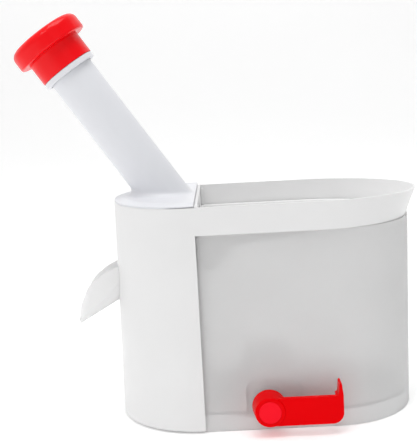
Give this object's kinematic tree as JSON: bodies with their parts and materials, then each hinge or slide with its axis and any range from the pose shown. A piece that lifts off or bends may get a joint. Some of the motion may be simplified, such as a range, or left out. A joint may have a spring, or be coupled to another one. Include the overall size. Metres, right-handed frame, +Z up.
{
  "type": "cherry pitter",
  "caption": "Countertop cherry pitter: leaning spring plunger over a hopper with chute, on a frosted stone container held by a lever-worked suction foot.",
  "frame": {"origin": "centre of the base on the table, under the middle of the suction cup", "axes": "+Z up, +X along the long side towards the flared hopper lip, +Y to the back, away from the suction lever"},
  "size_m": [0.2568, 0.1272, 0.2662],
  "materials": {
    "frosted_plastic": "frosted, translucent",
    "white_plastic": "satin",
    "tower_plastic": "satin",
    "grey_plastic": "matt",
    "red_plastic": "gloss",
    "red_cap_plastic": "gloss",
    "steel": "brushed",
    "spring_steel": "drawn wire",
    "foot_rubber": "matt",
    "silicone": "matt silicone"
  },
  "bodies": {
    "base": {"stone_container": "frosted_plastic", "shaft_bush": "white_plastic", "foot_frame": "grey_plastic", "frame_screw_1": "steel", "frame_screw_2": "steel", "frame_screw_3": "steel", "frame_screw_4": "steel"},
    "lever": {"cam_shaft": "grey_plastic", "shaft_clip": "steel", "suction_lever": "red_plastic", "lever_cap": "red_cap_plastic", "lever_screw": "steel"},
    "foot_stem": {"suction_cup": "foot_rubber", "cup_stem": "grey_plastic", "stem_stud": "steel"},
    "housing": {"housing_shell": "white_plastic", "hopper_gate": "white_plastic", "hopper_tray": "white_plastic", "seat_ring": "silicone", "stone_funnel": "white_plastic", "chute": "white_plastic"},
    "tower": {"guide_tower": "tower_plastic", "stripper": "tower_plastic", "spring_seat": "grey_plastic", "return_spring": "spring_steel"},
    "plunger": {"plunger_knob": "red_plastic", "retaining_ring": "tower_plastic", "plunger_rod": "grey_plastic", "pitting_needle": "steel", "knob_pin": "steel"}
  },
  "joints": [
    {"name": "lever_turn", "type": "hinge", "parent": "base", "child": "lever", "pos_m": [0, -0.06, 0.0162], "axis": [0, -1, 0], "range_deg": [0, 90]},
    {"name": "stem_lift", "type": "slide", "parent": "base", "child": "foot_stem", "axis": [0, 0, 1], "range_m": [0, 0.0025], "deforming": ["suction_cup"]},
    {"name": "housing_lift", "type": "slide", "parent": "base", "child": "housing", "axis": [0, 0, 1], "range_m": [0, 0.13]},
    {"name": "tower_lift", "type": "slide", "parent": "housing", "child": "tower", "axis": [0, 0, 1], "range_m": [0, 0.05]},
    {"name": "plunger_press", "type": "slide", "parent": "tower", "child": "plunger", "axis": [0.5614, 0, -0.8276], "range_m": [0, 0.0232], "stiffness_N_per_m": 250, "springref_m": -0.03, "deforming": ["return_spring"]}
  ],
  "couplings": [
    {"joint": "lever_turn", "follows": "stem_lift", "rad_per_m": 628}
  ]
}
